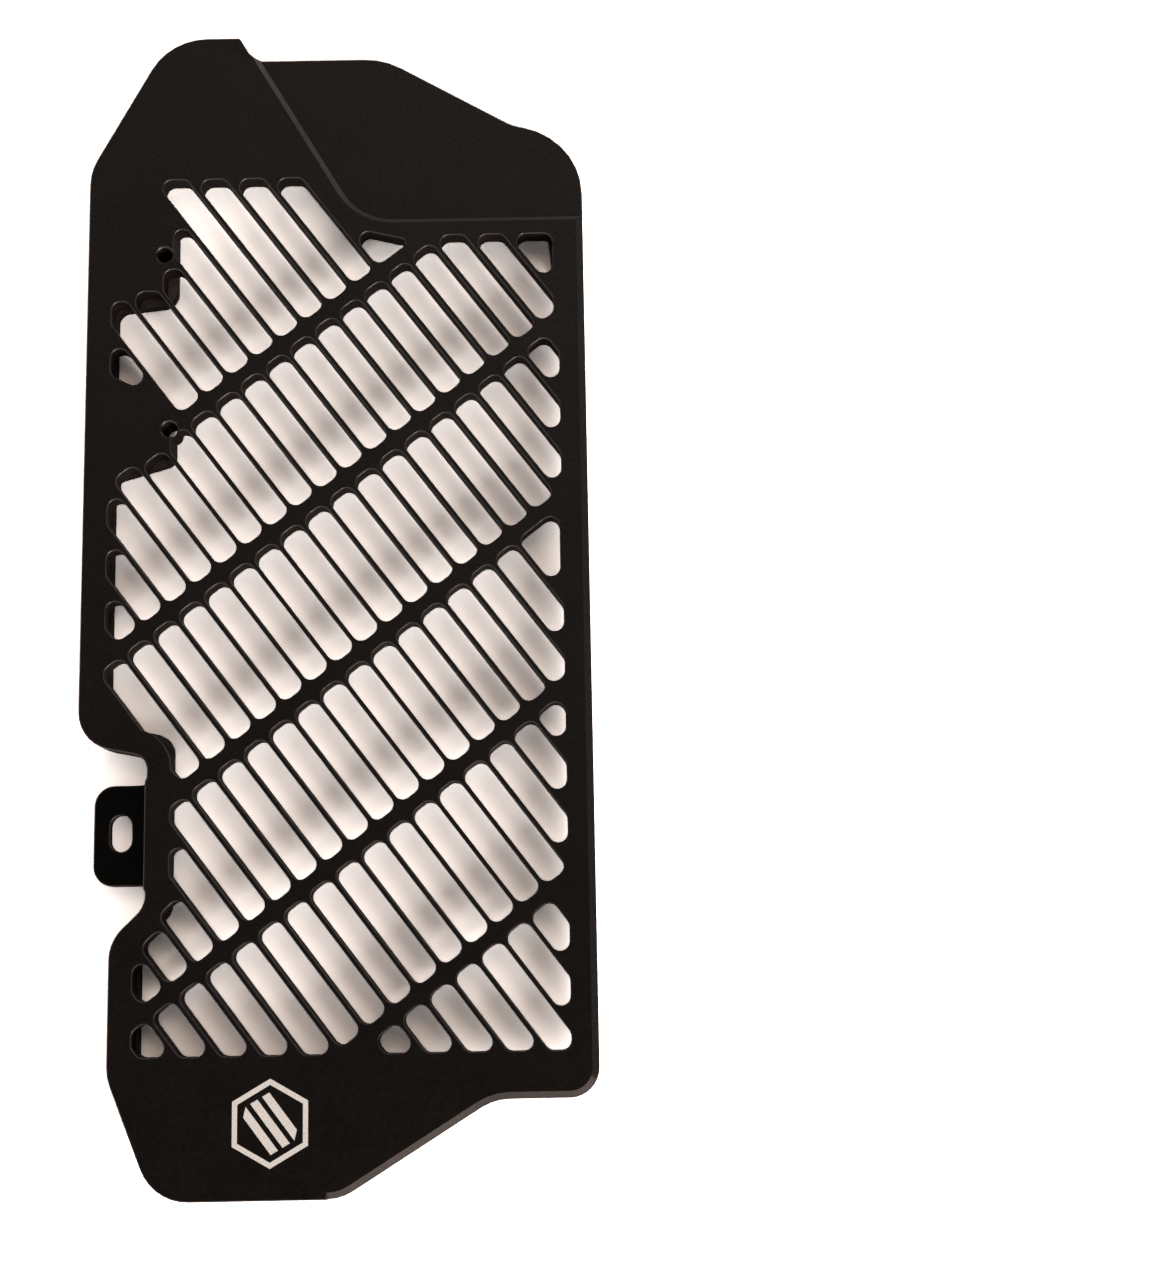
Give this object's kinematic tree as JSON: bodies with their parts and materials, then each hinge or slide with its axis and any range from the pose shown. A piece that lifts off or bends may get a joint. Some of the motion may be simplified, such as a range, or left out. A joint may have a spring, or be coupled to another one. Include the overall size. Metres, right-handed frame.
{
  "type": "motorcycle radiator guard",
  "caption": "Flat slotted guard plate for a motorcycle radiator, with slanted slats, cross bars, a stepped upper wing, a side tab with a bolt slot and a rear mounting rail.",
  "frame": {"origin": "centre of the guard's length and width, on the surface that its rear rail rests on", "axes": "+X across the guard towards the centre of the bike, +Y up the radiator, +Z forward out of the front face"},
  "size_m": [0.133, 0.3088, 0.0095],
  "materials": {
    "black_coat": "satin black coat on machined billet"
  },
  "bodies": {
    "root": {"radiator_guard": "black_coat"}
  },
  "joints": []
}
